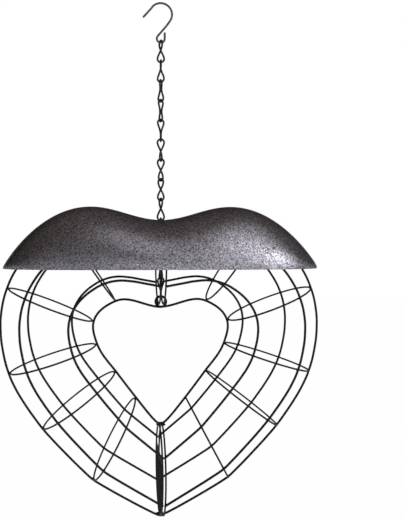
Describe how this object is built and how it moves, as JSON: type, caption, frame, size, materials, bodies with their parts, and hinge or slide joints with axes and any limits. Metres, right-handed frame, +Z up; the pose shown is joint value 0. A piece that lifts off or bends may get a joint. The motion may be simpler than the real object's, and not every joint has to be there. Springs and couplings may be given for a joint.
{
  "type": "suet feeder",
  "caption": "Hanging suet feeder: a heart-shaped wire cage in two halves under a two-lobed pressed roof, on a twisted-link chain with an S-hook.",
  "frame": {"origin": "the point inside the hook's crook that bears on what the feeder hangs from", "axes": "+Z up, +X to the right as seen from the front, -Y towards the front"},
  "size_m": [0.2822, 0.0998, 0.4547],
  "materials": {
    "black_wire": "satin",
    "chain": "satin",
    "hammered_roof": "hammered"
  },
  "bodies": {
    "hook": {"s_hook": "black_wire"},
    "link_1": {"chain_link_01": "chain"},
    "link_2": {"chain_link_02": "chain"},
    "link_3": {"chain_link_03": "chain"},
    "link_4": {"chain_link_04": "chain"},
    "link_5": {"chain_link_05": "chain"},
    "link_6": {"chain_link_06": "chain"},
    "link_7": {"chain_link_07": "chain"},
    "link_8": {"chain_link_08": "chain"},
    "link_9": {"chain_link_09": "chain"},
    "cage": {"chain_link_10": "chain", "chain_link_11": "chain", "chain_link_12": "chain", "chain_link_13": "chain", "left_ring_top_end": "black_wire", "left_ring_1": "black_wire", "left_ring_2": "black_wire", "left_ring_3": "black_wire", "left_ring_4": "black_wire", "left_ring_5": "black_wire", "left_ring_lower_end": "black_wire", "left_outer_wire": "black_wire", "left_inner_wire": "black_wire", "left_front_outer_wire": "black_wire", "left_front_inner_wire": "black_wire", "left_back_outer_wire": "black_wire", "left_back_inner_wire": "black_wire", "right_ring_top_end": "black_wire", "right_ring_1": "black_wire", "right_ring_2": "black_wire", "right_ring_3": "black_wire", "right_ring_4": "black_wire", "right_ring_5": "black_wire", "right_ring_lower_end": "black_wire", "right_outer_wire": "black_wire", "right_inner_wire": "black_wire", "right_front_outer_wire": "black_wire", "right_front_inner_wire": "black_wire", "right_back_outer_wire": "black_wire", "right_back_inner_wire": "black_wire", "divider_cross_bar": "black_wire", "divider_bar_1": "black_wire", "divider_bar_2": "black_wire", "divider_bar_3": "black_wire", "divider_bar_4": "black_wire", "divider_bar_5": "black_wire"},
    "roof": {"roof": "hammered_roof"}
  },
  "joints": [
    {"name": "link_1_swing", "type": "hinge", "parent": "hook", "child": "link_1", "pos_m": [0, 0, -0.03297], "axis": [1, 0, 0], "range_deg": [-12, 12]},
    {"name": "link_2_swing", "type": "hinge", "parent": "link_1", "child": "link_2", "pos_m": [0, 0, -0.05047], "axis": [-1, 0, 0], "range_deg": [-12, 12]},
    {"name": "link_3_swing", "type": "hinge", "parent": "link_2", "child": "link_3", "pos_m": [0, 0, -0.06797], "axis": [-0.9239, 0.3827, 0], "range_deg": [-12, 12]},
    {"name": "link_4_swing", "type": "hinge", "parent": "link_3", "child": "link_4", "pos_m": [0, 0, -0.08547], "axis": [0.7071, -0.7071, 0], "range_deg": [-12, 12]},
    {"name": "link_5_swing", "type": "hinge", "parent": "link_4", "child": "link_5", "pos_m": [0, 0, -0.10297], "axis": [0.3827, -0.9239, 0], "range_deg": [-12, 12]},
    {"name": "link_6_swing", "type": "hinge", "parent": "link_5", "child": "link_6", "pos_m": [0, 0, -0.12047], "axis": [0, 1, 0], "range_deg": [-12, 12]},
    {"name": "link_7_swing", "type": "hinge", "parent": "link_6", "child": "link_7", "pos_m": [0, 0, -0.13797], "axis": [0.3827, 0.9239, 0], "range_deg": [-12, 12]},
    {"name": "link_8_swing", "type": "hinge", "parent": "link_7", "child": "link_8", "pos_m": [0, 0, -0.15548], "axis": [-0.7071, -0.7071, 0], "range_deg": [-12, 12]},
    {"name": "link_9_swing", "type": "hinge", "parent": "link_8", "child": "link_9", "pos_m": [0, 0, -0.17297], "axis": [-0.9239, -0.3827, 0], "range_deg": [-12, 12]},
    {"name": "cage_swing", "type": "hinge", "parent": "link_9", "child": "cage", "pos_m": [0, 0, -0.19048], "axis": [1, 0, 0], "range_deg": [-12, 12]},
    {"name": "roof_lift", "type": "slide", "parent": "cage", "child": "roof", "axis": [0, 0, 1], "range_m": [0, 0.095]}
  ]
}
